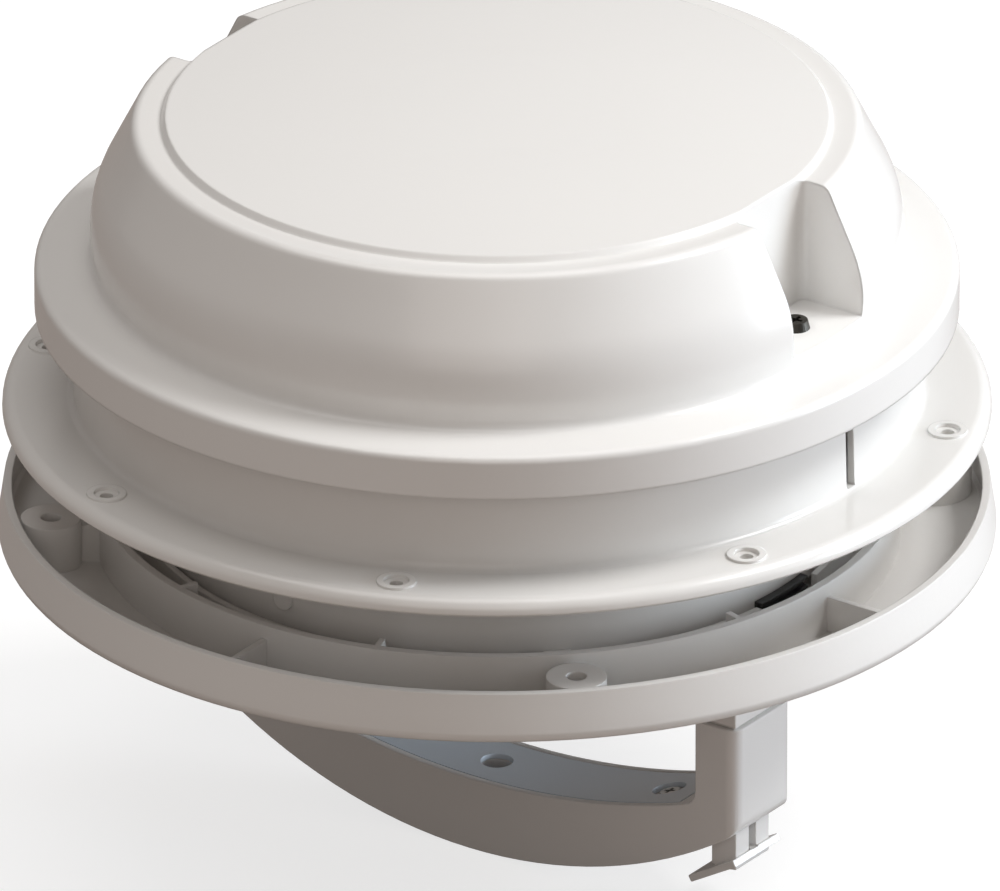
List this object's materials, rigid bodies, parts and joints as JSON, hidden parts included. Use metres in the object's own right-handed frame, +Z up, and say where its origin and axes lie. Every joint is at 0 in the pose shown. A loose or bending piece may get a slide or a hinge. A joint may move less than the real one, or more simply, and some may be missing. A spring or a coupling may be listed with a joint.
{
  "type": "roof vent",
  "caption": "Round powered roof vent for a caravan, with a lifting dome, roof flange, ceiling trim and a bow handle below.",
  "frame": {"origin": "centre of the roof flange's underside, where it meets the roof's outer skin", "axes": "+Z up through the roof along the vent's axis; +X along the bow handle towards the post with the latch trigger"},
  "size_m": [0.29, 0.29, 0.2337],
  "materials": {
    "white_gloss": "gloss",
    "trim_white": "gloss",
    "light_grey": "satin",
    "black_nylon": "matte",
    "dark_plastic": "matte",
    "seal_rubber": "matte",
    "screw_steel": "satin",
    "dark_screw": "satin",
    "motor_steel": "satin",
    "mesh_grey": "matte"
  },
  "bodies": {
    "base": {"roof_flange": "white_gloss", "flange_seal": "seal_rubber", "guide_clips": "black_nylon", "ceiling_trim": "trim_white", "trim_grille": "trim_white", "insect_screen": "mesh_grey", "fan_frame": "light_grey", "frame_screws": "screw_steel", "fan_motor": "motor_steel", "motor_screws": "screw_steel", "switch_body": "black_nylon"},
    "lid": {"dome": "white_gloss", "strut_right": "white_gloss", "strut_left": "white_gloss", "dome_screws": "dark_screw", "bow_handle": "trim_white", "bow_cover": "light_grey", "cover_screws": "screw_steel", "post_screws": "screw_steel", "latch_spring": "screw_steel"},
    "trigger": {"latch_trigger": "trim_white", "latch_rod": "screw_steel"},
    "fan": {"fan_impeller": "dark_plastic", "motor_shaft": "screw_steel", "impeller_nut": "screw_steel"},
    "rocker": {"switch_rocker": "dark_plastic"}
  },
  "joints": [
    {"name": "dome_slide", "type": "slide", "parent": "base", "child": "lid", "axis": [0, 0, 1], "range_m": [-0.013, 0]},
    {"name": "trigger_slide", "type": "slide", "parent": "lid", "child": "trigger", "axis": [0, 0, 1], "range_m": [0, 0.005], "stiffness_N_per_m": 400, "springref_m": -0.003, "deforming": ["latch_spring"]},
    {"name": "fan_spin", "type": "hinge", "parent": "base", "child": "fan", "pos_m": [0, 0, -0.02], "axis": [0, 0, 1], "continuous": true},
    {"name": "switch_tilt", "type": "hinge", "parent": "base", "child": "rocker", "pos_m": [-0.04967, 0.11992, -0.0409], "axis": [-0.3827, 0.9239, 0], "range_deg": [-9, 9]}
  ]
}
